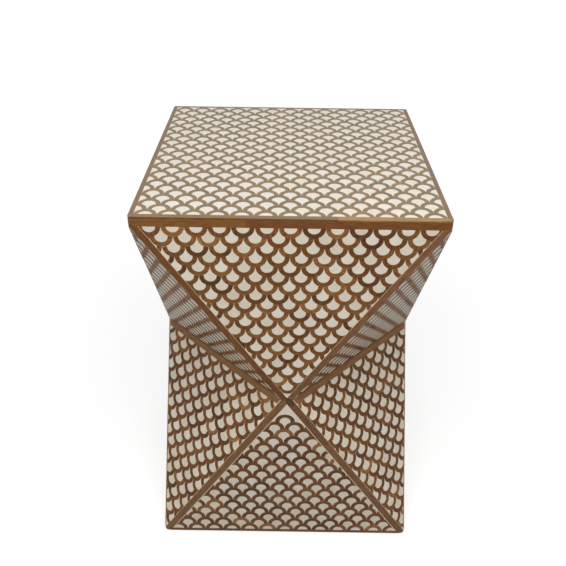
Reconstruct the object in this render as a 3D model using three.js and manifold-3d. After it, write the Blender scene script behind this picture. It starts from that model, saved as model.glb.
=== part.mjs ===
// A Moorish stool with the outline of an hourglass: a tall square box whose four corners are
// cut back to a valley at mid height. Boards make the carcass, and a skin of bone fields and
// wooden strips covers it. Millimetres, +Z up, with the origin on the floor under the middle.
import * as THREE from "three";
import { ConvexGeometry } from "three/addons/geometries/ConvexGeometry.js";
import { mergeVertices } from "three/addons/utils/BufferGeometryUtils.js";
import Module from "manifold-3d";

const wasm = await Module();
wasm.setup();

// Outer form
const stool_width = 300;
const stool_height = 450;
const neck_width = 10.6;
const neck_height = 224.8;

// Plain upright rims above and below the cut corners
const top_rim_height = 8;
const base_rim_height = 3;

// Carcass boards and the battens inside the waist
const panel_thickness = 9;
const top_board_thickness = 12;
const base_board_thickness = 12;
const batten_height = 36;
const batten_depth = 18;

// Skin of inlay. Each strip width is measured across the strip, in its own face.
const inlay_thickness = 2;
const top_edging_width = 5;
const rail_strip_width = 8;
const base_strip_width = 5;
const upper_diagonal_strip_width = 6.2;
const lower_diagonal_strip_width = 7.2;
const waist_strip_width = 7;

// Felt pads, let into the underside
const pad_diameter = 24;
const pad_thickness = 2.5;
const pad_proud = 1;
const pad_edge_margin = 20;
const pad_sides = 32;

// Glue line between neighbours, overrun of the cutters, and the rounding allowed for a corner
const glue_gap = 0.3;
const cutter_overrun = 5;
const corner_tolerance = 0.000001;

// Derived levels and distances
const half_width = stool_width / 2;
const half_neck = neck_width / 2;
const base_z = pad_proud;
const top_z = stool_height;
const waist_z = neck_height;
const upper_apex_z = top_z - top_rim_height;
const lower_apex_z = base_z + base_rim_height;
const skin_underside_z = top_z - inlay_thickness;
const board_depth = inlay_thickness + glue_gap;
const panel_inner_depth = board_depth + panel_thickness;
const top_board_top_z = skin_underside_z - glue_gap;
const top_board_underside_z = top_board_top_z - top_board_thickness;
const base_board_top_z = base_z + base_board_thickness;

// Finishes
const finishes = {
  bone: { color: 0xd8d0be, roughness: 0.45, metalness: 0 },
  strip_wood: { color: 0x7a4f2c, roughness: 0.5, metalness: 0 },
  board_wood: { color: 0xa9825a, roughness: 0.75, metalness: 0 },
  felt: { color: 0x4a3c30, roughness: 0.95, metalness: 0 },
};

// Places round the stool: the sides as directions, the corners as signs of x and y
const side_directions = { front: [0, -1], right: [1, 0], back: [0, 1], left: [-1, 0] };
const corner_signs = {
  front_left: [-1, -1],
  front_right: [1, -1],
  back_right: [1, 1],
  back_left: [-1, 1],
};

const stool = new THREE.Group();

function addPart(name, geometry, finish) {
  const mesh = new THREE.Mesh(geometry, new THREE.MeshStandardMaterial(finishes[finish]));
  mesh.name = name;
  stool.add(mesh);
}

// Planes. A solid lies where every one of its planes has a distance of zero or less, so each
// plane's normal points out of the solid.

function above(z) {
  return new THREE.Plane(new THREE.Vector3(0, 0, -1), z);
}

function below(z) {
  return new THREE.Plane(new THREE.Vector3(0, 0, 1), -z);
}

function movedIn(plane, distance) {
  return new THREE.Plane(plane.normal.clone(), plane.constant + distance);
}

function backedAt(plane, depth) {
  return movedIn(plane, depth).negate();
}

// Mitre plane on which a point is as deep behind one face as behind the other, with half of
// the glue line taken from each
function mitre(own, other) {
  const normal = other.normal.clone().sub(own.normal);
  const spread = normal.length();
  const constant = (other.constant - own.constant) / spread + glue_gap / 2;
  return new THREE.Plane(normal.divideScalar(spread), constant);
}

// Plane square to a face through one of its edges, pointing away from the face's middle
function edgeOf(face, start, end, middle) {
  const across = end.clone().sub(start).cross(face.normal).normalize();
  const plane = new THREE.Plane().setFromNormalAndCoplanarPoint(across, start);
  return plane.distanceToPoint(middle) > 0 ? plane.negate() : plane;
}

// Solids

function meetingPoint(a, b, c) {
  const bc = b.normal.clone().cross(c.normal);
  const spread = a.normal.dot(bc);
  if (Math.abs(spread) < corner_tolerance) return null;
  const ca = c.normal.clone().cross(a.normal);
  const ab = a.normal.clone().cross(b.normal);
  return bc.multiplyScalar(-a.constant)
    .addScaledVector(ca, -b.constant)
    .addScaledVector(ab, -c.constant)
    .divideScalar(spread);
}

// Convex solid between planes: its corners are where three planes meet inside all the others
function convexSolid(planes) {
  const corners = [];
  for (let i = 0; i < planes.length; i += 1) {
    for (let j = i + 1; j < planes.length; j += 1) {
      for (let k = j + 1; k < planes.length; k += 1) {
        const point = meetingPoint(planes[i], planes[j], planes[k]);
        if (!point) continue;
        const inside = planes.every((plane) => plane.distanceToPoint(point) < corner_tolerance);
        const known = corners.some((corner) => corner.distanceTo(point) < corner_tolerance);
        if (inside && !known) corners.push(point);
      }
    }
  }
  return new ConvexGeometry(corners);
}

function toManifold(geometry) {
  const bare = geometry.clone();
  bare.deleteAttribute("normal");
  bare.deleteAttribute("uv");
  const merged = mergeVertices(bare);
  const vertProperties = new Float32Array(merged.attributes.position.array);
  const triVerts = new Uint32Array(merged.index.array);
  return new wasm.Manifold(new wasm.Mesh({ numProp: 3, vertProperties, triVerts }));
}

function fromManifold(solid) {
  const mesh = solid.getMesh();
  const geometry = new THREE.BufferGeometry();
  geometry.setAttribute("position", new THREE.BufferAttribute(mesh.vertProperties, 3));
  geometry.setIndex(new THREE.BufferAttribute(mesh.triVerts, 1));
  return geometry;
}

function cutAway(geometry, cutters) {
  let solid = toManifold(geometry);
  for (const cutter of cutters) solid = solid.subtract(toManifold(cutter));
  return fromManifold(solid);
}

// Outer faces of the stool

const sides = {};
for (const [name, [x, y]] of Object.entries(side_directions)) {
  sides[name] = new THREE.Plane(new THREE.Vector3(x, y, 0), -half_width);
}

// The two ends of the valley of a corner, and the faces that rise and fall from it
function valleyEnds([x, y]) {
  return [
    new THREE.Vector3(x * half_width, y * half_neck, waist_z),
    new THREE.Vector3(x * half_neck, y * half_width, waist_z),
  ];
}

function cornerFace([x, y], apex_z) {
  const apex = new THREE.Vector3(x * half_width, y * half_width, apex_z);
  const cut_off = new THREE.Vector3(x * half_width, y * half_width, waist_z);
  const face = new THREE.Plane().setFromCoplanarPoints(apex, ...valleyEnds([x, y]));
  return face.distanceToPoint(cut_off) > 0 ? face : face.negate();
}

const corners = {};
for (const [name, signs] of Object.entries(corner_signs)) {
  corners[name] = {
    upper: cornerFace(signs, upper_apex_z),
    lower: cornerFace(signs, lower_apex_z),
    neighbours: name.split("_").map((side) => sides[side]),
    middle_planes: [
      new THREE.Plane(new THREE.Vector3(-signs[0], 0, 0), glue_gap / 2),
      new THREE.Plane(new THREE.Vector3(0, -signs[1], 0), glue_gap / 2),
    ],
  };
}

// The upper and the lower half of the stool are alike, apart from the widths of their strips,
// the height of the rim and the board that closes the half
const halves = {
  upper: {
    apex_z: upper_apex_z,
    diagonal_strip_width: upper_diagonal_strip_width,
    waist_plane: above(waist_z + glue_gap / 2),
    skin_limit: below(skin_underside_z - glue_gap),
    panel_limit: below(top_board_underside_z - glue_gap),
    strip_limit: below(skin_underside_z - glue_gap - rail_strip_width),
  },
  lower: {
    apex_z: lower_apex_z,
    diagonal_strip_width: lower_diagonal_strip_width,
    waist_plane: below(waist_z - glue_gap / 2),
    skin_limit: above(base_z),
    panel_limit: above(base_board_top_z + glue_gap),
    strip_limit: above(base_z + base_strip_width),
  },
};

// Boards that close the top and the base. They fill the plan inside the skin, and their
// corners follow the slope of the corner faces.
function closingBoard(half_name, low, high) {
  const planes = [above(low), below(high)];
  for (const side of Object.values(sides)) planes.push(movedIn(side, board_depth));
  for (const corner of Object.values(corners)) planes.push(movedIn(corner[half_name], board_depth));
  return convexSolid(planes);
}

function padCentre([x, y]) {
  const reach = half_width - pad_edge_margin - pad_diameter / 2;
  return [x * reach, y * reach];
}

function disc(radius, low, high, [x, y]) {
  const geometry = new THREE.CylinderGeometry(radius, radius, high - low, pad_sides);
  geometry.rotateX(Math.PI / 2);
  geometry.translate(x, y, (low + high) / 2);
  return geometry;
}

function addClosingBoards() {
  const pocket_top = pad_thickness + glue_gap;
  const pockets = Object.values(corner_signs).map((signs) => (
    disc(pad_diameter / 2 + glue_gap, -cutter_overrun, pocket_top, padCentre(signs))
  ));
  const base_board = closingBoard("lower", base_z, base_board_top_z);
  addPart("base_board", cutAway(base_board, pockets), "board_wood");
  addPart("top_board", closingBoard("upper", top_board_underside_z, top_board_top_z), "board_wood");
}

function addFloorPads() {
  for (const [name, signs] of Object.entries(corner_signs)) {
    addPart(`floor_pad_${name}`, disc(pad_diameter / 2, 0, pad_thickness, padCentre(signs)), "felt");
  }
}

// A side of the stool: two trapezia that share the neck. Each has a board, an edging of
// strips in one piece and a bone field inside it.
function addSide(side_name, half_name) {
  const face = sides[side_name];
  const half = halves[half_name];
  const beside = Object.keys(corners).filter((name) => name.split("_").includes(side_name));
  const next_sides = Object.values(sides).filter((side) => side.normal.dot(face.normal) === 0);
  const outline = [
    half.waist_plane,
    ...beside.map((name) => mitre(face, corners[name][half_name])),
    ...next_sides.map((side) => mitre(face, side)),
  ];

  const board = [movedIn(face, board_depth), backedAt(face, panel_inner_depth)];
  addPart(
    `side_panel_${half_name}_${side_name}`,
    convexSolid([...board, half.panel_limit, ...outline]),
    "board_wood",
  );

  const middle = face.normal.clone().multiplyScalar(half_width).setZ((waist_z + half.apex_z) / 2);
  const diagonals = beside.map((name) => {
    const [x, y] = corner_signs[name];
    const apex = new THREE.Vector3(x * half_width, y * half_width, half.apex_z);
    const neck_point = valleyEnds([x, y]).find((end) => Math.abs(face.distanceToPoint(end)) < corner_tolerance);
    return edgeOf(face, apex, neck_point, middle);
  });
  const window_edges = [
    half.strip_limit,
    half.waist_plane,
    ...diagonals.map((edge) => movedIn(edge, half.diagonal_strip_width)),
  ];
  const skin = [face, backedAt(face, inlay_thickness), half.skin_limit];
  const through = [movedIn(face, -cutter_overrun), backedAt(face, inlay_thickness + cutter_overrun)];
  addPart(
    `side_edging_${half_name}_${side_name}`,
    cutAway(convexSolid([...skin, ...outline]), [convexSolid([...through, ...window_edges])]),
    "strip_wood",
  );
  addPart(
    `side_bone_${half_name}_${side_name}`,
    convexSolid([...skin, ...window_edges.map((edge) => movedIn(edge, glue_gap))]),
    "bone",
  );
}

// A corner face: a triangle with its long side in the valley, where one strip lies along it
function addCornerFace(corner_name, half_name) {
  const corner = corners[corner_name];
  const face = corner[half_name];
  const half = halves[half_name];
  const outline = [
    half.waist_plane,
    ...corner.neighbours.map((side) => mitre(face, side)),
    ...corner.middle_planes,
  ];

  const board = [movedIn(face, board_depth), backedAt(face, panel_inner_depth)];
  addPart(
    `corner_panel_${half_name}_${corner_name}`,
    convexSolid([...board, half.panel_limit, ...outline]),
    "board_wood",
  );

  const [x, y] = corner_signs[corner_name];
  const apex = new THREE.Vector3(x * half_width, y * half_width, half.apex_z);
  const valley = edgeOf(face, ...valleyEnds([x, y]), apex);
  const skin = [face, backedAt(face, inlay_thickness), half.skin_limit, ...outline];
  addPart(
    `waist_strip_${half_name}_${corner_name}`,
    convexSolid([...skin, backedAt(valley, waist_strip_width)]),
    "strip_wood",
  );
  addPart(
    `corner_bone_${half_name}_${corner_name}`,
    convexSolid([...skin, movedIn(valley, waist_strip_width + glue_gap)]),
    "bone",
  );
}

// A batten behind a valley, grooved to sit over the two corner panels, with mitred ends
function addWaistBatten(corner_name) {
  const corner = corners[corner_name];
  const [x, y] = corner_signs[corner_name];
  const outward = new THREE.Vector3(x, y, 0).normalize();
  const seat_depth = panel_inner_depth + glue_gap;
  const ridge = meetingPoint(
    movedIn(corner.upper, seat_depth),
    movedIn(corner.lower, seat_depth),
    new THREE.Plane(new THREE.Vector3(y, -x, 0).normalize(), 0),
  );
  const inner_face = new THREE.Plane().setFromNormalAndCoplanarPoint(outward.clone().negate(), ridge);
  const blank = convexSolid([
    above(waist_z - batten_height / 2),
    below(waist_z + batten_height / 2),
    movedIn(inner_face, -batten_depth),
    ...corner.neighbours.map((side) => movedIn(side, seat_depth)),
    ...corner.middle_planes,
  ]);
  const groove = convexSolid([
    backedAt(corner.upper, seat_depth),
    backedAt(corner.lower, seat_depth),
    ...corner.neighbours.map((side) => movedIn(side, -cutter_overrun)),
    ...corner.middle_planes.map((plane) => movedIn(plane, -cutter_overrun)),
  ]);
  addPart(`waist_batten_${corner_name}`, cutAway(blank, [groove]), "board_wood");
}

// The skin of the top: an edging in one piece, whose outer side shows all round, and a field
function addTopSkin() {
  const layer = [above(skin_underside_z), below(top_z)];
  const plate = convexSolid([...layer, ...Object.values(sides)]);
  const through = [above(skin_underside_z - cutter_overrun), below(top_z + cutter_overrun)];
  const window_edges = Object.values(sides).map((side) => movedIn(side, top_edging_width));
  addPart("top_edging", cutAway(plate, [convexSolid([...through, ...window_edges])]), "strip_wood");
  addPart(
    "top_bone",
    convexSolid([...layer, ...window_edges.map((edge) => movedIn(edge, glue_gap))]),
    "bone",
  );
}

addClosingBoards();
addFloorPads();
addTopSkin();
for (const half_name of Object.keys(halves)) {
  for (const side_name of Object.keys(sides)) addSide(side_name, half_name);
  for (const corner_name of Object.keys(corners)) addCornerFace(corner_name, half_name);
}
for (const corner_name of Object.keys(corners)) addWaistBatten(corner_name);

export default stool;
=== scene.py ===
"""A low square stool inlaid with bone and wood in a fish-scale pattern.

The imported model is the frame. Its carcass boards, battens and pads keep their shapes, and each inlaid
skin is replaced by what the real one is made of: a filler bed, bone tiles, wooden scales and strips.
Lengths are in millimetres until a piece is finished, when it is scaled to metres.
"""

import math
import random
from dataclasses import dataclass, replace

import bmesh
import bpy
from mathutils import Matrix, Vector


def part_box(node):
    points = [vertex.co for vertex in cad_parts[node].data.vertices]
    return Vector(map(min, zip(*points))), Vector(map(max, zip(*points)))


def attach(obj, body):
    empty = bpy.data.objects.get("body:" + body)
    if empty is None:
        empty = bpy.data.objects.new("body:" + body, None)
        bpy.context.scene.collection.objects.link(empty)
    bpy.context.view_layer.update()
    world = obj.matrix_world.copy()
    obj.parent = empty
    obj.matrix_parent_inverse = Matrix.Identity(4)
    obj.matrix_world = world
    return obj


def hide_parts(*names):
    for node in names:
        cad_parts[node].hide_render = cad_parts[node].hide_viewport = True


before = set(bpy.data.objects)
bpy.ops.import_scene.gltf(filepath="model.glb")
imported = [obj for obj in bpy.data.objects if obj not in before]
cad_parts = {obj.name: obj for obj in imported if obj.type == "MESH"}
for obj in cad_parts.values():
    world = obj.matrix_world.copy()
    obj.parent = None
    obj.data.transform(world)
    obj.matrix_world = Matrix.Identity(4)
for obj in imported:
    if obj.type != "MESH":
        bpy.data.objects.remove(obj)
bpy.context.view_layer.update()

MM = 0.000999999        # a hair under a millimetre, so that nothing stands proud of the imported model
METRE = 1000.0          # in millimetres
EPS = 1e-4
ON_PLANE = 10 * EPS     # what is nearer to a plane than this lies on it
BLOCK = 700.0           # a cube that any piece can be cut from
FAR = 1000.0            # beyond the ends of any strip
LOWEST, HIGHEST = 0, 1  # corners of a box
X, Z = 0, 2
QUARTERS = 4            # the stool is the same four times round


def packed(node, corner, axis):
    """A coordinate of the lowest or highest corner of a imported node."""
    return round(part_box(node)[corner][axis] * METRE, 3)


# the stool
HALF = packed("top_edging", HIGHEST, X)     # half its width
TOP = packed("top_edging", HIGHEST, Z)      # height of the top face
SKIN = TOP - packed("top_edging", LOWEST, Z)                # thickness of the strips
BASE = packed("side_edging_lower_front", LOWEST, Z)         # height of the lower edge of the sides
WAIST_SIDES = (packed("side_edging_upper_front", LOWEST, Z), packed("side_edging_lower_front", HIGHEST, Z))
WAIST = round(sum(WAIST_SIDES) / 2, 3)      # height of the valley at each corner
NECK = 5.3              # half the width of a side at the waist
HALF_VALLEY = (HALF - NECK) / math.sqrt(2)
TOP_RIM = 8.0           # height of the upright rim under the top face
BASE_RIM = 3.0          # height of the upright rim above the lower edge
CORNER_ROUND = 4.0      # rounding of the corners, seen from above
CORNER_STEPS = 5
BASE_ROUND = 2.6        # rounding of the corners under it, at the base
BASE_DIPS = (math.pi / 8, math.pi / 4, math.pi * 3 / 8)     # slopes of the facets there
ARRIS_ROUND = 1.1       # how far the rounding of an arris reaches over each face
ARRIS_STEPS = 3
SIDE_NAMES = ("front", "right", "back", "left")
CORNER_NAMES = ("front_right", "back_right", "back_left", "front_left")

# strips
JOINT = 0.06            # clearance between pieces
TOP_STRIP = 5.0
RAIL_TOP = 2.3          # upper edge of the upper rail, below the top face
RAIL = 10.3             # its lower edge
BASE_STRIP = 5.0
UPPER_DIAGONAL = 6.2
LOWER_DIAGONAL = 7.2
WAIST_STRIP = 7.0
CROSSING_RISE = 6.5     # how far the blocks at the front's crossing reach above the waist
FRONT_SEAM = 1.2        # how far off the middle the front's diagonals meet
WRAP = 1.3              # how far a diagonal strip shows on the corner face
FILLER_LINE = 0.5       # filler beside an upper diagonal strip, on the side face
LOWER_FILLER_LINE = 0.9
CORNER_LINE = 0.9       # filler beside the strip's wrap, on the upper corner face
LOWER_CORNER_LINE = 0.4
VALLEY_GAP = 4.6        # filler at the ends of an upper valley strip
LOWER_VALLEY_GAP = 0.9

# the grain and tones of the strips
GRAIN_UNIT = 0.01       # the grain map counts in decimetres
GRAIN_TILT = 0.7        # how much of its second direction runs into the wood
GRAIN_SHIFT = 5.0       # each length is sawn from a place up to this far away on it
CROSS_SHIFT = 3.0       # scales and tiles are moved this much further across the grain than along it
STRIP_TONE_SPREAD = 0.03
UPPER_VALLEY_TONE = 0.55
LOWER_VALLEY_TONE = 0.62

# inlay
INLAY = 1.2             # thickness of tiles and scales
TILE_GAP = 0.5          # filler round a tile
SCALE_GAP = 0.04        # clearance round a scale
BED_DEPTH = 0.14        # the filler lies this far below the wood
BED_BACK = 0.1          # clearance behind it
BEYOND_TIP = 20.0       # the bed is drawn past the tip before its edges cut it
TILE_DEPTH = 0.05       # tiles lie at least this far below the wood
TIP_DEPTH = 0.08        # the same of the plain piece at a field's tip
TOP_SKIN = 0.4          # what is nearer than this to the top face is part of its surface
COLUMNS = 9             # scales to either side of the middle of the longest row
SCALE_STEPS = 10
TILE_STEPS = 8
CUSP_STEPS = 5
MERGE = 0.3             # points of a tile's outline that are nearer than this are one
TILE_HEART = 0.1        # the outline goes round a point this far below the tile's centre
SCALE_TILT = 0.012      # how far a scale is turned, as a rule, in radians
SCALE_STRAY = (0.12, 0.1)   # how far it strays along its row and across it
SCALE_SINK = 0.004      # scales and tiles lie one or a few of these steps deeper
SCALE_SINK_STEPS = 5
TILE_SINK = 0.002
TILE_SINK_STEPS = 4
TILE_GRAIN_STRAY = 0.3  # how far a tile's canals are turned, in radians
TIP_GRAIN = (Vector((0.3, 1, 0)), Vector((-1, 0.3, GRAIN_TILT)))
DARK_SHARE = 0.14       # share of the scales that are clearly darker
DARK_TONES = (0.18, 0.32)
GOLDEN_SHARE = 0.05
GOLDEN_TONES = (0.62, 0.74)
SCALE_TONE_SPREAD = 0.07
BONE_TONE_SPREAD = 0.1
BONE_TONES = (0.1, 0.95)    # the darkest and the lightest
TIP_TONE = 0.6

# where each kind of piece starts its random draws
UPPER_STRIP_SEED = 10
LOWER_STRIP_SEED = 20
SIDE_SEED_STEP = 100
DIAGONAL_SEED = 1
CROSSING_SEED = 5
VALLEY_SEED = 500
TOP_STRIP_SEED = 700
SIDE_INLAY_SEED = 1000
CORNER_INLAY_SEED = 2000
TOP_INLAY_SEED = 3000
SEED_STEP = 10


@dataclass
class Field:
    """How one field of inlay is laid out, measured from its face's long edge and middle."""
    pitch: float            # from scale to scale along a row
    row: float              # from row to row
    band: float             # width of a scale's band
    start: float            # edge of the strip along the long edge
    inset: float            # from the slanted edges
    rows: int
    reach: float            # how far outside the slanted insets a scale may still be centred
    tone: float             # the scales' usual tone, from dark to light, with the face's painted light and shade in it
    bone: float             # the same of the tiles
    first: float = 0.0      # from start to the centres of the first row
    offset: float = 0.0     # sideways shift of the first row
    drift: float = 0.0      # how much further each row is shifted than the one before
    tip: float = None       # where the plain piece at the tip starts
    end: float = None       # edge of the strip opposite the long edge
    lone: int = None        # the row that has only its middle scales


# the fields' tones and bones hold painted light and shade: the lower faces' are darker as painted shade, and
# the upper corners' lighter as painted light
UPPER_SIDE = Field(pitch=21.83, row=10.77, band=4.65, start=RAIL, inset=UPPER_DIAGONAL + FILLER_LINE,
                   rows=19, reach=7.5, tone=0.47, bone=0.55, offset=-0.15, tip=207.0)
LOWER_SIDE = Field(pitch=22.09, row=11.0, band=4.8, start=BASE_STRIP,
                   inset=LOWER_DIAGONAL + LOWER_FILLER_LINE, rows=18, reach=7.5, tone=0.36, bone=0.38,
                   offset=0.55, drift=0.52, tip=196.0, lone=17)
UPPER_CORNER = Field(pitch=21.65, row=10.88, band=4.75, start=WAIST_STRIP, inset=WRAP + CORNER_LINE,
                     rows=21, reach=11.0, tone=0.58, bone=0.6, tip=219.0)
LOWER_CORNER = replace(UPPER_CORNER, inset=WRAP + LOWER_CORNER_LINE, tone=0.41, bone=0.44)
TOP_FIELD = Field(pitch=22.31, row=10.72, band=4.35, start=TOP_STRIP, inset=TOP_STRIP, rows=28, reach=4.0,
                  tone=0.47, bone=0.55, first=-1.0, offset=-0.2, end=2 * HALF - TOP_STRIP)

# first, offset and drift of each corner's field
UPPER_CORNER_SHIFTS = ((-4.5, 9.0, 0.0), (-1.0, 11.0, 0.1), (-2.0, 11.0, -0.1), (0.7, 13.4, 0.0))
LOWER_CORNER_SHIFTS = ((1.1, 15.0, 0.15), (0.0, 12.0, -0.3), (-0.5, 10.5, 0.35), (-0.9, -11.45, 0.3))

# the lengths that each strip is glued up from: its joints, and the tone of each length
# a diagonal's joints are shares of its length, and dull names the diagonals of duller wood
# crossing gives the tones of the small blocks where the diagonals meet
TOP_CUTS = {
    "front": ([43.8], [0.46, 0.84]),
    "right": ([-95.0, -60.0, 70.0], [0.48, 0.28, 0.38, 0.36]),
    "back": ([-30.0], [0.5, 0.44]),
    "left": ([20.0], [0.34, 0.44]),
}
FRONT_UPPER_CUTS = {
    "rail": ([-98.0, 41.0], [0.46, 0.45, 0.56]),
    "left": ([0.8], [0.44, 0.36]),
    "right": ([0.385, 0.75], [0.55, 0.52, 0.47]),
    "dull": ("right",),
    "seam": FRONT_SEAM,
    "crossing": {"left": 0.46, "right": 0.12},
}
FRONT_LOWER_CUTS = {
    "rail": ([20.0], [0.34, 0.36]),
    "left": ([0.55], [0.5, 0.5]),
    "right": ([0.15, 0.57, 0.7, 0.975], [0.44, 0.47, 0.52, 0.4, 0.2]),
    "dull": ("left", "right"),
    "seam": -FRONT_SEAM,
}
OTHER_CUTS = (
    {"rail": ([35.0], [0.5, 0.43]), "left": ([0.4], [0.42, 0.47]), "right": ([0.62], [0.45, 0.4])},
    {"rail": ([-50.0], [0.44, 0.52]), "left": ([0.7], [0.46, 0.4]), "right": ([0.3], [0.41, 0.46])},
    {"rail": ([10.0], [0.47, 0.42]), "left": ([0.5], [0.4, 0.45]), "right": ([0.8], [0.46, 0.5])},
)

# colours, from dark to light, each with its place on the ramp
WOOD_STOPS = ((0.0, (56, 29, 9)), (0.28, (86, 51, 22)), (0.5, (113, 73, 39)), (0.74, (140, 96, 54)),
              (1.0, (186, 143, 90)))
# the greyish tan painted on the top's wood as its sheen under the lamp
PAINTED_SHEEN_WOOD = (139, 129, 97)
BONE_STOPS = ((0.0, (197, 186, 162)), (0.35, (211, 202, 184)), (0.65, (220, 213, 199)),
              (1.0, (226, 222, 212)))
# the pale colour painted on the top's tiles as their sheen under the lamp
PAINTED_SHEEN_BONE = (226, 222, 213)
FILLER_STOPS = ((0.3, (218, 196, 167)), (0.7, (232, 212, 184)))
BOARD_STOPS = ((0.3, (120, 86, 54)), (0.5, (158, 120, 80)), (0.7, (186, 150, 108)))
FELT_STOPS = ((0.3, (46, 38, 32)), (0.7, (84, 72, 62)))

# finishes
NOISE_CORE = (0.3, 0.7)         # most of a noise lies between these
BROAD_CORE = (0.25, 0.75)
PORE_CORE = (0.62, 0.74)
CANAL_CORE = (0.6, 0.78)
WOOD_APART = 37.0               # how far apart in the noise the wood of two pieces may lie
FINE_TONE = 0.07                # how much fine grain, pores, clouds and canals change the tone
PORE_TONE = 0.14
CLOUD_TONE = 0.14
CANAL_TONE = 0.25
WOOD_HUES = (0.497, 0.507)
PAINTED_SHEEN_BONE_SHARE = 0.5                # how much paler the tiles are painted in the top, as painted sheen
BAND_SHARE = 0.7                # how much of a board's tone its broad bands give, and its fibres
FIBRE_SHARE = 0.3
SIDE_SHINE = 0.22
TOP_SHINE = 0.6
GLANCE = (0.68, 0.82)           # the shine dies away between these, and leaves a share of itself
SHINE_LEFT = 0.26
HAIR_DEEP = 0.00005             # depths of relief, in metres
GRAIN_DEEP = 0.0001
FELT_DEEP = 0.0003

# stage: the camera's angles are in degrees, its focal length and axis in pixels of the picture, and its
# place in millimetres, and the lamp and the floor are in metres
CAMERA = {"yaw": 0.138, "rise": 31.389, "roll": 0.742, "distance": 809.449, "across": -6.8, "height": 323.723,
          "focal": 674.426, "axis_y": 251.063}
PICTURE = 566.0
SENSOR = 36.0
CLIP_START = 0.01
LAMP_PLACE = (0.0, -0.7, 1.25)
LAMP_AIM = (0.0, 0.0, 0.3)
LAMP_SIZE = 1.0
LAMP_POWER = 10.9
WORLD_LIGHT = 0.45
FLOOR_SIZE = 6.0
FLOOR_SHADE = 0.5
FLOOR_REACH = (0.3, 2.0)        # near the stool and far from it
FLOOR_LIFT = (0.64, 0.88)       # how much the floor is lifted to white there


# faces

class Face:
    """One flat face of the stool, with its own axes.

    u runs along the face's long edge, v from that edge to the face's tip, and w outwards. The ends of
    the long edge are upright as far as the rim, and from there the edges slant to the tip.
    """

    def __init__(self, matrix, half_edge, half_tip, rim, height):
        self.matrix = matrix
        self.half_edge = half_edge
        self.half_tip = half_tip
        self.rim = rim
        self.height = height

    def slanted(self, side, inset):
        """A point and the outward direction of the right (+1) or left (-1) edge, moved in by inset."""
        run = Vector((self.half_tip - self.half_edge, self.height - self.rim, 0)).normalized()
        outward = Vector((run.y, -run.x, 0))
        point = Vector((self.half_edge, self.rim, 0)) - outward * inset
        flip = Vector((side, 1, 1))
        return point * flip, outward * flip

    def room(self, u, v, inset):
        """How far a point lies inside the slanted edges."""
        rooms = []
        for side in (1, -1):
            point, outward = self.slanted(side, inset)
            rooms.append((point - Vector((u, v, 0))).dot(outward))
        return min(rooms)


def axes(u, v, w, origin):
    """The matrix that carries face coordinates to the stool's."""
    matrix = Matrix((u, v, w)).transposed().to_4x4()
    matrix.translation = origin
    return matrix


def quarter(turns):
    """Turns a face to the next sides or corners round the stool."""
    return Matrix.Rotation(turns * math.pi / 2, 4, "Z")


def side_face(turns, upper):
    """A side's triangle: it hangs from the top or stands on the base, with its tip at the waist."""
    way = -1 if upper else 1
    edge = TOP if upper else BASE
    matrix = axes(Vector((way, 0, 0)), Vector((0, 0, way)), Vector((0, -1, 0)), Vector((0, -HALF, edge)))
    return Face(quarter(turns) @ matrix, HALF, NECK, TOP_RIM if upper else BASE_RIM, abs(WAIST - edge))


def corner_face(turns, upper):
    """A corner's triangle: its long edge is the valley at the waist."""
    way = 1 if upper else -1
    apex = Vector((HALF, -HALF, TOP - TOP_RIM if upper else BASE + BASE_RIM))
    middle = Vector(((HALF + NECK) / 2, -(HALF + NECK) / 2, WAIST))
    v = (apex - middle).normalized()
    u = Vector((way, way, 0)).normalized()
    matrix = quarter(turns) @ axes(u, v, u.cross(v), middle)
    return Face(matrix, HALF_VALLEY, 0.0, 0.0, (apex - middle).length)


def top_face():
    """The square top. Its long edge is the front one."""
    matrix = axes(Vector((1, 0, 0)), Vector((0, 1, 0)), Vector((0, 0, 1)), Vector((0, -HALF, TOP)))
    return Face(matrix, HALF, HALF, 0.0, 2 * HALF)


def level_name(upper):
    return "upper" if upper else "lower"


def own_seed(first, turns, upper):
    """The number that a face's random draws start from."""
    return first + SEED_STEP * turns + upper


# cutting and finishing

def cut(bm, point, outward):
    """Cuts away what lies beyond a plane and closes the cut."""
    point, outward = Vector(point), Vector(outward)
    if all((v.co - point).dot(outward) <= EPS for v in bm.verts):
        return
    geometry = bm.verts[:] + bm.edges[:] + bm.faces[:]
    bmesh.ops.bisect_plane(bm, geom=geometry, dist=EPS, plane_co=point, plane_no=outward, clear_outer=True)
    open_edges = [e for e in bm.edges if e.is_boundary]
    if open_edges:
        bmesh.ops.holes_fill(bm, edges=open_edges, sides=0)


def billet(planes):
    """A block cut to the planes, each a point on it and its outward direction."""
    bm = bmesh.new()
    bmesh.ops.create_cube(bm, size=BLOCK)
    for point, outward in planes:
        cut(bm, point, outward)
    return bm


def edges_on(bm, first, second):
    """The edges that lie on both planes."""
    def near(vert, plane):
        return abs((vert.co - Vector(plane[0])).dot(Vector(plane[1]).normalized())) < ON_PLANE
    return [e for e in bm.edges if all(near(v, first) and near(v, second) for v in e.verts)]


def soften(bm, edges):
    """Rounds arrises."""
    if edges:
        bmesh.ops.bevel(bm, geom=edges, offset=ARRIS_ROUND, offset_type="OFFSET", segments=ARRIS_STEPS,
                        profile=0.5, affect="EDGES", clamp_overlap=True, material=-1)


def round_corners(bm):
    """Rounds the stool's vertical corners and the foot of each, on a strip that reaches one."""
    inner = HALF - CORNER_ROUND
    for turns in range(QUARTERS):
        centre = quarter(turns) @ Vector((inner, inner, 0))
        for step in range(CORNER_STEPS):
            angle = math.pi / 2 * (turns + (step + 0.5) / CORNER_STEPS)
            outward = Vector((math.cos(angle), math.sin(angle), 0))
            cut(bm, centre + outward * CORNER_ROUND, outward)
            heart = centre + outward * (CORNER_ROUND - BASE_ROUND) + Vector((0, 0, BASE + BASE_ROUND))
            for dip in BASE_DIPS:
                slanted = outward * math.cos(dip) - Vector((0, 0, math.sin(dip)))
                cut(bm, heart + slanted * BASE_ROUND, slanted)


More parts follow.
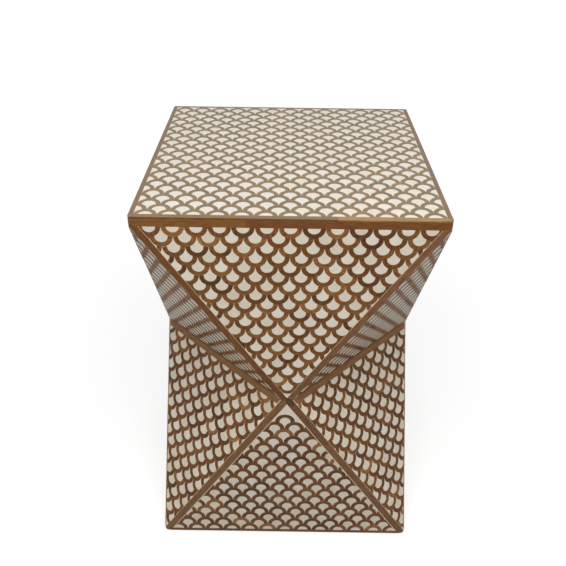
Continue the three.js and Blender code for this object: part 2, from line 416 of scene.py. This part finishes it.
def grain(bm, faces, along, across, shift=(0.0, 0.0)):
    """Lays the grain map on the faces: its first number runs along the wood."""
    layer = bm.loops.layers.uv.get("grain") or bm.loops.layers.uv.new("grain")
    for face in faces:
        for loop in face.loops:
            co = loop.vert.co
            loop[layer].uv = (co.dot(along) * GRAIN_UNIT + shift[0], co.dot(across) * GRAIN_UNIT + shift[1])


def shade(bm, verts, tone, seed):
    """Gives a piece its own tone, from dark to light, and its own number for the grain."""
    tones = bm.verts.layers.float.get("tone") or bm.verts.layers.float.new("tone")
    seeds = bm.verts.layers.float.get("seed") or bm.verts.layers.float.new("seed")
    for vert in verts:
        vert[tones] = tone
        vert[seeds] = seed


def empty_piece():
    """A piece with nothing in it yet but room for tones, seeds and the grain map."""
    bm = bmesh.new()
    shade(bm, [], 0, 0)
    bm.loops.layers.uv.new("grain")
    return bm


def to_mesh(bm, name):
    """Turns a bmesh into a mesh and frees it."""
    mesh = bpy.data.meshes.new(name)
    bm.to_mesh(mesh)
    bm.free()
    return mesh


def join(whole, part):
    """Adds a part to a piece."""
    mesh = to_mesh(part, "part")
    whole.from_mesh(mesh)
    bpy.data.meshes.remove(mesh)


def mark_top(bm):
    """Marks what lies in the top face, which is more polished than the rest and gets a painted sheen that
    pales its colour.
    """
    top_polish_and_painted_sheen = bm.verts.layers.float.new("top_polish_and_painted_sheen")
    for vert in bm.verts:
        vert[top_polish_and_painted_sheen] = 1.0 if vert.co.z > TOP - TOP_SKIN else 0.0


def finish_piece(bm, name, material, node):
    """Scales a piece to metres and hangs it on the stool in place of a CAD node."""
    mark_top(bm)
    bm.normal_update()      # a transform leaves normals as they were, and the next line goes by them
    bmesh.ops.recalc_face_normals(bm, faces=bm.faces[:])
    bm.transform(Matrix.Scale(MM, 4))
    piece = bpy.data.objects.new(name, to_mesh(bm, name))
    bpy.context.scene.collection.objects.link(piece)
    piece.data.materials.append(material)
    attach(piece, "root")
    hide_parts(node)


# materials

def srgb(red, green, blue):
    """A colour as it shows on a screen, made the linear one that a node takes."""
    def linear(value):
        value /= 255
        return value / 12.92 if value <= 0.04045 else ((value + 0.055) / 1.055) ** 2.4
    return (linear(red), linear(green), linear(blue), 1.0)


def add(tree, kind, settings=(), **values):
    """Adds a node. A value that is a socket is linked, and any other is set."""
    node = tree.nodes.new(kind)
    for name, value in dict(settings).items():
        setattr(node, name, value)
    for name, value in values.items():
        socket = node.inputs[int(name[1:]) if name[0] == "_" else name.replace("_", " ")]
        if isinstance(value, bpy.types.NodeSocket):
            tree.links.new(value, socket)
        else:
            socket.default_value = value
    return node


def new_material(name):
    material = bpy.data.materials.new(name)
    material.use_nodes = True
    tree = material.node_tree
    shader = tree.nodes["Principled BSDF"]
    return material, tree, shader


def feed(tree, shader, **sockets):
    """Links sockets to the shader's inputs, whose names have _ here for each space."""
    for name, socket in sockets.items():
        tree.links.new(socket, shader.inputs[name.replace("_", " ")])


def attribute(tree, name):
    return add(tree, "ShaderNodeAttribute", {"attribute_name": name}).outputs["Fac"]


def object_place(tree):
    return add(tree, "ShaderNodeTexCoord").outputs["Object"]


def calculate(tree, operation, first, second):
    return add(tree, "ShaderNodeMath", {"operation": operation}, _0=first, _1=second).outputs[0]


def spread(tree, value, source, target=(0.0, 1.0)):
    """Maps one range onto another, without going beyond it."""
    node = add(tree, "ShaderNodeMapRange", Value=value, From_Min=source[0], From_Max=source[1],
               To_Min=target[0], To_Max=target[1])
    return node.outputs["Result"]


def ramp(tree, value, stops):
    """Colours a value from 0 to 1 by stops."""
    node = add(tree, "ShaderNodeValToRGB", Fac=value)
    elements = node.color_ramp.elements
    while len(elements) < len(stops):
        elements.new(0.5)
    for element, (place, colour) in zip(elements, stops):
        element.position = place
        element.color = srgb(*colour)
    return node.outputs["Color"]


def mix_colours(tree, share, first, second):
    return add(tree, "ShaderNodeMix", {"data_type": "RGBA"}, _0=share, _6=first, _7=second).outputs[2]


def noise(tree, vector, scale=1.0, detail=2.0, rough=0.5):
    node = add(tree, "ShaderNodeTexNoise", Vector=vector, Scale=scale, Detail=detail, Roughness=rough)
    return node.outputs["Fac"]


def grain_space(tree, along, across):
    """The grain map drawn out along the wood, with each piece moved to wood of its own."""
    uv = add(tree, "ShaderNodeUVMap", {"uv_map": "grain"}).outputs["UV"]
    split = add(tree, "ShaderNodeSeparateXYZ", Vector=uv)
    seed = calculate(tree, "MULTIPLY", attribute(tree, "seed"), WOOD_APART)
    join_up = add(tree, "ShaderNodeCombineXYZ",
                  X=calculate(tree, "MULTIPLY", split.outputs["X"], along),
                  Y=calculate(tree, "MULTIPLY", split.outputs["Y"], across), Z=seed)
    return join_up.outputs["Vector"]


def drawn_out(tree, scale):
    """Object coordinates, drawn out by a different amount each way."""
    return add(tree, "ShaderNodeMapping", Vector=object_place(tree), Scale=scale).outputs["Vector"]


def bump(tree, shader, height, strength, distance):
    """Fine relief, as deep as distance."""
    node = add(tree, "ShaderNodeBump", Height=height, Strength=strength, Distance=distance)
    feed(tree, shader, Normal=node.outputs["Normal"])


def shine(tree):
    """A soft shine, stronger on the polished top, that dies away at a glancing angle."""
    level = spread(tree, attribute(tree, "top_polish_and_painted_sheen"), (0.0, 1.0), (SIDE_SHINE, TOP_SHINE))
    facing = add(tree, "ShaderNodeLayerWeight", Blend=0.5).outputs["Facing"]
    return calculate(tree, "MULTIPLY", level, spread(tree, facing, GLANCE, (1.0, SHINE_LEFT)))


def wood_material(name, streaks, richness, depth, painted_sheen_share):
    """Oiled brown wood. streaks is how much the broad grain changes its tone, and the last argument how
    much a painted sheen pales the wood where it lies in the top.
    """
    material, tree, shader = new_material(name)
    broad = noise(tree, grain_space(tree, along=9.0, across=70.0), detail=3.0, rough=0.55)
    fine = noise(tree, grain_space(tree, along=30.0, across=520.0), detail=2.0, rough=0.6)
    pores = spread(tree, noise(tree, grain_space(tree, along=70.0, across=900.0), detail=1.0), PORE_CORE)
    broad_tone = spread(tree, broad, BROAD_CORE, (-streaks, streaks))
    fine_tone = spread(tree, fine, NOISE_CORE, (-FINE_TONE, FINE_TONE))
    tone = calculate(tree, "ADD", calculate(tree, "ADD", attribute(tree, "tone"), broad_tone), fine_tone)
    tone = calculate(tree, "SUBTRACT", tone, calculate(tree, "MULTIPLY", pores, PORE_TONE))
    colour = ramp(tree, tone, WOOD_STOPS)
    hue = spread(tree, attribute(tree, "seed"), (0.0, 1.0), WOOD_HUES)
    tinted = add(tree, "ShaderNodeHueSaturation", Hue=hue, Saturation=richness, Color=colour)
    # painted sheen: the top's wood is mixed towards a pale greyish tan
    painted_sheen_mix = calculate(tree, "MULTIPLY", attribute(tree, "top_polish_and_painted_sheen"), painted_sheen_share)
    feed(tree, shader, Base_Color=mix_colours(tree, painted_sheen_mix, tinted.outputs["Color"], srgb(*PAINTED_SHEEN_WOOD)),
         Roughness=spread(tree, fine, NOISE_CORE, (0.4, 0.54)), Specular_IOR_Level=shine(tree))
    bump(tree, shader, calculate(tree, "SUBTRACT", fine, pores), strength=0.25, distance=depth)
    return material


def bone_material():
    """Polished bone: pale, faintly mottled, with fine canals along each tile."""
    material, tree, shader = new_material("polished_bone")
    cloud = noise(tree, object_place(tree), scale=90.0, detail=3.0, rough=0.6)
    canals = noise(tree, grain_space(tree, along=60.0, across=620.0), detail=2.0, rough=0.6)
    canals = spread(tree, canals, CANAL_CORE)
    cloud_tone = spread(tree, cloud, NOISE_CORE, (-CLOUD_TONE, CLOUD_TONE))
    tone = calculate(tree, "ADD", attribute(tree, "tone"), cloud_tone)
    tone = calculate(tree, "SUBTRACT", tone, calculate(tree, "MULTIPLY", canals, CANAL_TONE))
    # painted sheen: the top's tiles are mixed towards a paler bone
    pale = calculate(tree, "MULTIPLY", attribute(tree, "top_polish_and_painted_sheen"), PAINTED_SHEEN_BONE_SHARE)
    feed(tree, shader, Base_Color=mix_colours(tree, pale, ramp(tree, tone, BONE_STOPS), srgb(*PAINTED_SHEEN_BONE)),
         Roughness=spread(tree, cloud, NOISE_CORE, (0.38, 0.5)), Specular_IOR_Level=shine(tree))
    bump(tree, shader, canals, strength=0.12, distance=HAIR_DEEP)
    return material


def filler_material():
    """The pale filler between the pieces, a little uneven where it was sanded."""
    material, tree, shader = new_material("pale_filler")
    mottle = noise(tree, object_place(tree), scale=160.0, detail=3.0, rough=0.6)
    grit = noise(tree, object_place(tree), scale=2600.0, detail=2.0, rough=0.5)
    feed(tree, shader, Base_Color=ramp(tree, mottle, FILLER_STOPS),
         Roughness=spread(tree, grit, NOISE_CORE, (0.5, 0.7)), Specular_IOR_Level=shine(tree))
    bump(tree, shader, grit, strength=0.2, distance=HAIR_DEEP)
    return material


def board_material():
    """Plain light hardwood boards, with long grain and small pores."""
    material, tree, shader = new_material("carcass_board")
    bands = noise(tree, drawn_out(tree, (1.6, 16.0, 16.0)), detail=3.0, rough=0.6)
    fibre = noise(tree, drawn_out(tree, (9.0, 150.0, 150.0)), detail=3.0, rough=0.6)
    tone = calculate(tree, "ADD", calculate(tree, "MULTIPLY", bands, BAND_SHARE),
                     calculate(tree, "MULTIPLY", fibre, FIBRE_SHARE))
    feed(tree, shader, Base_Color=ramp(tree, tone, BOARD_STOPS),
         Roughness=spread(tree, fibre, NOISE_CORE, (0.5, 0.68)))
    bump(tree, shader, fibre, strength=0.2, distance=GRAIN_DEEP)
    return material


def felt_material():
    """Dark brown felt: short matted fibres."""
    material, tree, shader = new_material("pad_felt")
    clumps = noise(tree, object_place(tree), scale=420.0, detail=4.0, rough=0.7)
    fibres = noise(tree, object_place(tree), scale=3200.0, detail=2.0, rough=0.7)
    feed(tree, shader, Base_Color=ramp(tree, clumps, FELT_STOPS))
    shader.inputs["Roughness"].default_value = 0.95
    shader.inputs["Sheen Weight"].default_value = 0.3
    bump(tree, shader, calculate(tree, "ADD", clumps, fibres), strength=0.6, distance=FELT_DEEP)
    return material


SCALE_WOOD = wood_material("scale_wood", streaks=0.25, richness=1.04, depth=HAIR_DEEP, painted_sheen_share=0.5)
STRIP_WOOD = wood_material("strip_wood", streaks=0.14, richness=1.05, depth=GRAIN_DEEP, painted_sheen_share=0.34)
DULL_WOOD = wood_material("dull_strip_wood", streaks=0.16, richness=0.95, depth=GRAIN_DEEP, painted_sheen_share=0.0)
BONE = bone_material()
FILLER = filler_material()
BOARD = board_material()
FELT = felt_material()


def dress_frame():
    """Finishes the CAD nodes. The boards, the battens and the pads keep their own shapes."""
    for name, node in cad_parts.items():
        finish = BOARD
        if name.startswith("floor_pad"):
            finish = FELT
        elif "bone" in name:
            finish = FILLER
        node.data.materials.clear()
        node.data.materials.append(finish)


# strips

FRONT_FACE = ((0, 0, 0), (0, 0, 1))


def skin_planes():
    """The front and the back of a strip."""
    return [FRONT_FACE, ((0, 0, -SKIN), (0, 0, -1))]


def strip(face, name, node, planes, along, lengths, rounded, seed, wood):
    """One wooden strip, glued up from lengths that meet at joints, each with its own tone.

    lengths are the joints, as distances along it, and the tones. rounded are pairs of planes whose
    common edge is rounded.
    """
    joints, tones = lengths
    rng = random.Random(seed)
    along = Vector(along).normalized()
    across = Vector((-along.y, along.x, GRAIN_TILT)).normalized()
    whole = empty_piece()
    ends = [-FAR, *joints, FAR]
    for start, end, tone in zip(ends, ends[1:], tones):
        limits = [(along * (start + JOINT / 2), -along), (along * (end - JOINT / 2), along)]
        length = billet(planes + limits)
        if not length.faces:
            length.free()
            continue
        soften(length, [e for pair in rounded for e in edges_on(length, *pair)])
        grain(length, length.faces, along, across, (rng.random() * GRAIN_SHIFT, rng.random() * GRAIN_SHIFT))
        tone += rng.uniform(-STRIP_TONE_SPREAD, STRIP_TONE_SPREAD)
        shade(length, length.verts, tone, rng.random())
        join(whole, length)
    whole.transform(face.matrix)
    round_corners(whole)
    finish_piece(whole, name, wood, node)


def diagonal_width(upper):
    return UPPER_DIAGONAL if upper else LOWER_DIAGONAL


def rail_edges(upper):
    """The outer and the inner edge of the strip along a side's long edge."""
    outer_v, inner_v = (RAIL_TOP, RAIL) if upper else (0.0, BASE_STRIP)
    return ((0, outer_v, 0), (0, -1, 0)), ((0, inner_v, 0), (0, 1, 0))


def upright(side):
    """The mitred end of a side's strips, where they meet the next side's at the stool's corner."""
    return (side * (HALF - JOINT / 2), 0, 0), (side, 0, -1)


def fold_planes(face, side):
    """The corner face beside a side's slanted edge, and the end of the strip's wrap over it."""
    point, outward = face.slanted(side, 0)
    slope = face.height - face.rim
    fold_cos = slope / math.hypot(slope, slope, face.half_edge - face.half_tip)
    fold_sin = math.sqrt(1 - fold_cos ** 2)
    normal = outward * fold_sin + Vector((0, 0, fold_cos))
    down = outward * fold_cos - Vector((0, 0, fold_sin))
    return (point, normal), (point + down * WRAP, down)


def mitre(face, side, upper, keep):
    """The mitre between a side's rail and a diagonal strip. keep is +1 for the diagonal, -1 for the rail."""
    inner_v = rail_edges(upper)[1][0][1]
    corner = Vector((side * face.half_edge, face.rim, 0))
    point, outward = face.slanted(side, diagonal_width(upper))
    inner_u = point.x - (inner_v - point.y) * outward.y / outward.x
    run = Vector((inner_u, inner_v, 0)) - corner
    normal = Vector((run.y, -run.x, 0)).normalized()
    if normal.y * keep > 0:
        normal = -normal
    return corner - normal * JOINT / 2, normal


def crossing_plane(face, side, seam):
    """Where an upper diagonal strip stands on the small block at the crossing of the X."""
    heel = Vector((side * NECK, face.height, 0))
    run = Vector((seam, face.height - CROSSING_RISE, 0)) - heel
    way = Vector((run.y, -run.x, 0)).normalized()
    return heel, way if way.y > 0 else -way


def side_rail(face, turns, upper, cuts, seed):
    """The strip along a side's long edge, mitred to the diagonal strips."""
    label = f"{level_name(upper)}_{SIDE_NAMES[turns]}"
    outer, inner = rail_edges(upper)
    mitres = [mitre(face, side, upper, -1) for side in (1, -1)]
    planes = skin_planes() + [outer, inner, *mitres, upright(1), upright(-1)]
    strip(face, f"rail_{label}", f"side_edging_{label}", planes, (1, 0, 0), cuts["rail"],
          [(FRONT_FACE, outer)], seed, STRIP_WOOD)


def side_diagonal(face, turns, upper, side, cuts, seed):
    """A slanted strip of a side, and at the front's crossing the small block that it stands on."""
    side_name = SIDE_NAMES[turns]
    level = level_name(upper)
    node = f"side_edging_{level}_{side_name}"
    hand = "right" if (side > 0) != upper else "left"
    seam = cuts.get("seam", 0.0)
    fold, wrap = fold_planes(face, side)
    rounded = [(FRONT_FACE, fold)]
    point, outward = face.slanted(side, diagonal_width(upper))
    middle = ((seam + side * JOINT / 2, 0, 0), (-side, 0, 0))
    waist = ((0, face.height - JOINT / 2, 0), (0, 1, 0))
    outer = rail_edges(upper)[0]
    planes = skin_planes() + [fold, wrap, upright(side), (point, -outward), outer, middle, waist]
    if "crossing" in cuts:
        heel, way = crossing_plane(face, side, seam)
        block = planes + [(heel + way * JOINT / 2, -way)]
        strip(face, f"crossing_{side_name}_{hand}", node, block, (1, 0, 0), ([], [cuts["crossing"][hand]]),
              rounded, seed + CROSSING_SEED + side, STRIP_WOOD)
        planes.append((heel - way * JOINT / 2, way))
    planes.append(mitre(face, side, upper, 1))
    run = Vector((-outward.y, outward.x, 0)) * side
    start = point.dot(run)
    length = math.hypot(HALF - NECK, face.height - face.rim)
    shares, tones = cuts[hand]
    joints = [start + length * share for share in shares]
    wood = DULL_WOOD if hand in cuts.get("dull", ()) else STRIP_WOOD
    strip(face, f"diagonal_{level}_{side_name}_{hand}", node, planes, run, (joints, tones), rounded,
          seed + DIAGONAL_SEED + side, wood)


def valley_strip(face, turns, upper, strip_ends):
    """The strip along the valley, on the upper or the lower corner face."""
    label = f"{level_name(upper)}_{CORNER_NAMES[turns]}"
    steep = abs(face.matrix.col[1].z)
    valley = ((0, JOINT / 2, 0), (0, -steep, math.sqrt(1 - steep ** 2)))
    ends = [face.slanted(side, strip_ends) for side in (1, -1)]
    planes = skin_planes() + [valley, ((0, WAIST_STRIP, 0), (0, 1, 0))] + ends
    tone = UPPER_VALLEY_TONE if upper else LOWER_VALLEY_TONE
    strip(face, f"valley_strip_{label}", f"waist_strip_{label}", planes, (1, 0, 0), ([], [tone]), [],
          own_seed(VALLEY_SEED, turns, upper), DULL_WOOD)


def top_strips():
    """The four mitred strips round the top, whose outer edges show on the sides."""
    outer = ((0, 0, 0), (0, -1, 0))
    inner = ((0, TOP_STRIP, 0), (0, 1, 0))
    mitres = [((side * (HALF - JOINT), 0, 0), (side, 1, 0)) for side in (1, -1)]
    planes = skin_planes() + [outer, inner, *mitres]
    for turns, side_name in enumerate(SIDE_NAMES):
        face = top_face()
        face.matrix = quarter(turns) @ face.matrix
        strip(face, f"top_strip_{side_name}", "top_edging", planes, (1, 0, 0), TOP_CUTS[side_name],
              [(FRONT_FACE, outer)], TOP_STRIP_SEED + turns, STRIP_WOOD)


# inlay

def scale_shape(field):
    """A half ring of wood. Its ends slope, so that they sit on the scales of the row before."""
    half = field.pitch / 2
    outer, inner = half - SCALE_GAP, half - field.band
    outer_lap = half - field.row
    inner_lap = math.sqrt(half ** 2 - field.band ** 2) - field.row
    bm = bmesh.new()
    corners = [bm.verts.new((x, 0, z)) for x, z in ((inner, -INLAY), (outer, -INLAY), (outer, 0), (inner, 0))]
    section = bm.faces.new(corners)
    bmesh.ops.spin(bm, geom=[section, *section.edges, *section.verts], cent=(0, 0, 0), axis=(0, 0, 1),
                   angle=math.pi, steps=SCALE_STEPS, use_merge=False)
    for vert in bm.verts:
        if abs(vert.co.y) < EPS:
            vert.co.y += outer_lap if abs(vert.co.x) > (inner + outer) / 2 else inner_lap
    bmesh.ops.recalc_face_normals(bm, faces=bm.faces[:])
    return to_mesh(bm, "scale")


def arc(bm, start, centre, angle, steps):
    """Draws an arc of edges from start round centre."""
    vert = bm.verts.new((*start, 0))
    bmesh.ops.spin(bm, geom=[vert], cent=(*centre, 0), axis=(0, 0, 1), angle=angle, steps=steps,
                   use_merge=False)


def tile_shape(field):
    """A bone tile: round where its scale holds it, and drawn in to a point between the row before."""
    bm = bmesh.new()
    half = field.pitch / 2
    outer = half + TILE_GAP
    round_end = half - field.band - TILE_GAP
    arc(bm, (round_end, 0), (0, 0), math.pi, TILE_STEPS)
    height = math.sqrt(outer ** 2 - (half - round_end) ** 2)
    sweep = math.atan2(height, half - round_end) - math.asin(TILE_GAP / outer)
    for side in (1, -1):
        start = (side * round_end, -field.row + height)
        arc(bm, start, (side * half, -field.row), side * sweep, CUSP_STEPS)
    bmesh.ops.remove_doubles(bm, verts=bm.verts[:], dist=MERGE)
    outline = sorted(bm.verts, key=lambda v: math.atan2(v.co.x, -v.co.y - TILE_HEART))
    face = bm.faces.new(outline)
    bmesh.ops.delete(bm, geom=[e for e in bm.edges if not e.link_faces], context="EDGES")
    raised = bmesh.ops.extrude_face_region(bm, geom=[face])["geom"]
    for item in raised:
        if isinstance(item, bmesh.types.BMVert):
            item.co.z -= INLAY - TILE_DEPTH
    bmesh.ops.recalc_face_normals(bm, faces=bm.faces[:])
    return to_mesh(bm, "tile")


def stamp(bm, shape, place, tone, seed, turn):
    """Sets one copy of a shape into the inlay, with its grain turned its own way."""
    first_vert, first_face = len(bm.verts), len(bm.faces)
    bm.from_mesh(shape)
    bm.verts.ensure_lookup_table()
    bm.faces.ensure_lookup_table()
    verts, faces = bm.verts[first_vert:], bm.faces[first_face:]
    along = Vector((math.cos(turn), math.sin(turn), 0))
    grain(bm, faces, along, Vector((-along.y, along.x, GRAIN_TILT)), (seed, CROSS_SHIFT * seed))
    shade(bm, verts, tone, seed)
    bmesh.ops.transform(bm, matrix=place, verts=verts)


def scale_tone(rng, usual):
    """Most scales are mid brown. Some are clearly darker, and a few are golden."""
    pick = rng.random()
    if pick < DARK_SHARE:
        return rng.uniform(*DARK_TONES)
    if pick > 1 - GOLDEN_SHARE:
        return rng.uniform(*GOLDEN_TONES)
    return rng.gauss(usual, SCALE_TONE_SPREAD)


def set_scale(scales, shape, u, v, usual, rng):
    """Sets one scale, a little off its place as a hand sets it."""
    tilt = rng.gauss(0, SCALE_TILT)
    stray_u, stray_v = (rng.gauss(0, stray) for stray in SCALE_STRAY)
    place = Vector((u + stray_u, v + stray_v, -SCALE_SINK * rng.randint(1, SCALE_SINK_STEPS)))
    turned = Matrix.Translation(place) @ Matrix.Rotation(tilt, 4, "Z")
    stamp(scales, shape, turned, scale_tone(rng, usual), rng.random(), rng.uniform(0, math.pi))


def set_tile(tiles, shape, u, v, usual, rng):
    """Sets one tile, with its canals more or less upright."""
    place = Matrix.Translation((u, v, -TILE_DEPTH - TILE_SINK * rng.randint(1, TILE_SINK_STEPS)))
    darkest, lightest = BONE_TONES
    tone = min(lightest, max(darkest, rng.gauss(usual, BONE_TONE_SPREAD)))
    stamp(tiles, shape, place, tone, rng.random(), rng.gauss(math.pi / 2, TILE_GRAIN_STRAY))


def lay_rows(scales, tiles, face, field, rng):
    """Lays the scales and tiles of a field, in rows from its long edge to its tip."""
    scale, tile = scale_shape(field), tile_shape(field)
    for count in range(-1 if field.first > 0 else 0, field.rows):
        v = field.start + field.first + count * field.row
        shift = field.offset + field.drift * count + (field.pitch / 2 if count % 2 else 0)
        for column in range(-COLUMNS, COLUMNS + 1):
            u = shift + column * field.pitch
            left_out = count == field.lone and abs(u) > field.pitch / 2
            if left_out or face.room(u, v, field.inset) < -field.reach:
                continue
            set_scale(scales, scale, u, v, field.tone, rng)
            set_tile(tiles, tile, u, v, field.bone, rng)
    for shape in (scale, tile):
        bpy.data.meshes.remove(shape)


def tip(face, field, seed):
    """The plain bone piece that ends a field beyond its last scale."""
    planes = [((0, 0, -TIP_DEPTH), (0, 0, 1)), ((0, 0, -INLAY), (0, 0, -1)), ((0, field.tip, 0), (0, -1, 0))]
    bm = billet(planes + [face.slanted(side, field.inset + TILE_GAP) for side in (1, -1)])
    grain(bm, bm.faces, *TIP_GRAIN)
    shade(bm, bm.verts, TIP_TONE, seed)
    return bm


def trim(bm, face, field, gap):
    """Cuts a field's scales or tiles along the strips round it, with a gap."""
    cut(bm, (0, field.start + JOINT + gap, 0), (0, -1, 0))
    if field.end is not None:
        cut(bm, (0, field.end - JOINT - gap, 0), (0, 1, 0))
    for side in (1, -1):
        cut(bm, *face.slanted(side, field.inset + gap))
    bm.transform(face.matrix)


def inlay(face, where, node, field, seed):
    """The wooden scales and bone tiles of one field."""
    rng = random.Random(seed)
    scales, tiles = empty_piece(), empty_piece()
    lay_rows(scales, tiles, face, field, rng)
    if field.tip is not None:
        join(tiles, tip(face, field, rng.random()))
    trim(scales, face, field, 0.0)
    trim(tiles, face, field, TILE_GAP)
    finish_piece(scales, f"wood_scales_{where}", SCALE_WOOD, node)
    finish_piece(tiles, f"bone_tiles_{where}", BONE, node)


def bed(face, name, node, v_start, v_end, inset, strip_ends=None):
    """The filler that the inlay is set in, up to the strips, and round a strip's ends if it stops short."""
    layers = [((0, 0, -BED_DEPTH), (0, 0, 1)), ((0, 0, -SKIN + BED_BACK), (0, 0, -1))]
    edges = [face.slanted(side, inset + JOINT) for side in (1, -1)]
    bm = billet(layers + [((0, v_start + JOINT, 0), (0, -1, 0)), ((0, v_end - JOINT, 0), (0, 1, 0))] + edges)
    if strip_ends is not None:
        for side in (1, -1):
            point, outward = face.slanted(side, strip_ends - JOINT)
            ends = [((0, JOINT, 0), (0, -1, 0)), ((0, v_start + JOINT, 0), (0, 1, 0)), (point, -outward)]
            join(bm, billet(layers + ends + edges))
    bm.transform(face.matrix)
    finish_piece(bm, name, FILLER, node)


# the stool's faces, dressed

def build_top():
    """The top, with its four strips and its field."""
    top_strips()
    face = top_face()
    bed(face, "filler_bed_top", "top_bone", TOP_STRIP, 2 * HALF - TOP_STRIP, TOP_STRIP)
    inlay(face, "top", "top_bone", TOP_FIELD, TOP_INLAY_SEED)


def build_side(turns, upper):
    """A side's triangle. The front's strips are cut as the real ones are, and the others differ."""
    if turns == 0:
        cuts = FRONT_UPPER_CUTS if upper else FRONT_LOWER_CUTS
    else:
        cuts = OTHER_CUTS[(turns + upper) % len(OTHER_CUTS)]
    face = side_face(turns, upper)
    seed = SIDE_SEED_STEP * turns + (UPPER_STRIP_SEED if upper else LOWER_STRIP_SEED)
    side_rail(face, turns, upper, cuts, seed)
    for side in (1, -1):
        side_diagonal(face, turns, upper, side, cuts, seed)
    label = f"{level_name(upper)}_{SIDE_NAMES[turns]}"
    field = UPPER_SIDE if upper else LOWER_SIDE
    bed(face, f"filler_bed_side_{label}", f"side_bone_{label}", field.start, face.height + BEYOND_TIP,
        diagonal_width(upper))
    inlay(face, f"side_{label}", f"side_bone_{label}", field, own_seed(SIDE_INLAY_SEED, turns, upper))


def build_corner(turns, upper):
    """A corner's triangle, with its strip along the valley."""
    face = corner_face(turns, upper)
    strip_ends = WRAP + (VALLEY_GAP if upper else LOWER_VALLEY_GAP)
    valley_strip(face, turns, upper, strip_ends)
    first, offset, drift = (UPPER_CORNER_SHIFTS if upper else LOWER_CORNER_SHIFTS)[turns]
    field = replace(UPPER_CORNER if upper else LOWER_CORNER, first=first, offset=offset, drift=drift)
    label = f"{level_name(upper)}_{CORNER_NAMES[turns]}"
    bed(face, f"filler_bed_corner_{label}", f"corner_bone_{label}", field.start, face.height + BEYOND_TIP,
        WRAP, strip_ends)
    inlay(face, f"corner_{label}", f"corner_bone_{label}", field, own_seed(CORNER_INLAY_SEED, turns, upper))


def build_stool():
    """Dresses the top, then the sides and then the corners, the upper half of each first."""
    build_top()
    for build_face in (build_side, build_corner):
        for turns in range(QUARTERS):
            for upper in (True, False):
                build_face(turns, upper)


# stage

def build_camera():
    """A camera a little above the stool, in front of it."""
    yaw, rise, roll = (math.radians(CAMERA[key]) for key in ("yaw", "rise", "roll"))
    back = Vector((math.sin(yaw) * math.cos(rise), -math.cos(yaw) * math.cos(rise), math.sin(rise)))
    right = Vector((math.cos(yaw), math.sin(yaw), 0))
    up = back.cross(right)
    turned_right = right * math.cos(roll) + up * math.sin(roll)
    turned_up = up * math.cos(roll) - right * math.sin(roll)
    place = right * CAMERA["across"] + Vector((0, 0, CAMERA["height"])) + back * CAMERA["distance"]
    data = bpy.data.cameras.new("camera")
    data.sensor_width = SENSOR
    data.sensor_fit = "HORIZONTAL"
    data.lens = CAMERA["focal"] * SENSOR / PICTURE
    data.shift_y = (CAMERA["axis_y"] - PICTURE / 2) / PICTURE
    data.clip_start = CLIP_START
    camera = bpy.data.objects.new("camera", data)
    bpy.context.scene.collection.objects.link(camera)
    camera.matrix_world = axes(turned_right, turned_up, back, place * MM)
    bpy.context.scene.camera = camera


def build_lamp():
    """One large soft lamp, above the stool and in front of it."""
    data = bpy.data.lights.new("softbox", "AREA")
    data.shape = "SQUARE"
    data.size = LAMP_SIZE
    data.energy = LAMP_POWER
    lamp = bpy.data.objects.new("softbox", data)
    bpy.context.scene.collection.objects.link(lamp)
    lamp.location = LAMP_PLACE
    lamp.rotation_euler = (Vector(LAMP_AIM) - Vector(LAMP_PLACE)).to_track_quat("-Z", "Y").to_euler()


def seen_directly(tree):
    """1 for what the camera, a gloss or a clear piece sees, and 0 for the light that falls on the stool."""
    path = add(tree, "ShaderNodeLightPath").outputs
    seen = calculate(tree, "MAXIMUM", path["Is Camera Ray"], path["Is Glossy Ray"])
    return calculate(tree, "MAXIMUM", seen, path["Is Transmission Ray"])


def build_world():
    """White where it is seen, and softer as light on the stool."""
    world = bpy.data.worlds.new("studio")
    bpy.context.scene.world = world
    world.use_nodes = True
    tree = world.node_tree
    background = tree.nodes["Background"]
    background.inputs["Color"].default_value = (1, 1, 1, 1)
    feed(tree, background, Strength=spread(tree, seen_directly(tree), (0.0, 1.0), (WORLD_LIGHT, 1.0)))


def build_floor():
    """A pale floor, which shows as white and keeps the stool's shadow."""
    bm = bmesh.new()
    bmesh.ops.create_grid(bm, x_segments=1, y_segments=1, size=FLOOR_SIZE)
    floor = bpy.data.objects.new("floor", to_mesh(bm, "floor"))
    bpy.context.scene.collection.objects.link(floor)
    material, tree, shader = new_material("pale_floor")
    shader.inputs["Base Color"].default_value = (FLOOR_SHADE, FLOOR_SHADE, FLOOR_SHADE, 1)
    shader.inputs["Roughness"].default_value = 1.0
    shader.inputs["Specular IOR Level"].default_value = 0.0
    shader.inputs["Emission Color"].default_value = (1, 1, 1, 1)
    reach = add(tree, "ShaderNodeVectorMath", {"operation": "LENGTH"}, _0=object_place(tree)).outputs["Value"]
    lift = spread(tree, reach, FLOOR_REACH, FLOOR_LIFT)
    feed(tree, shader, Emission_Strength=calculate(tree, "MULTIPLY", seen_directly(tree), lift))
    floor.data.materials.append(material)


def build_stage():
    """The camera, the light and the floor."""
    bpy.context.scene.view_settings.view_transform = "Standard"
    build_camera()
    build_world()
    build_floor()
    build_lamp()


build_stage()
dress_frame()
build_stool()
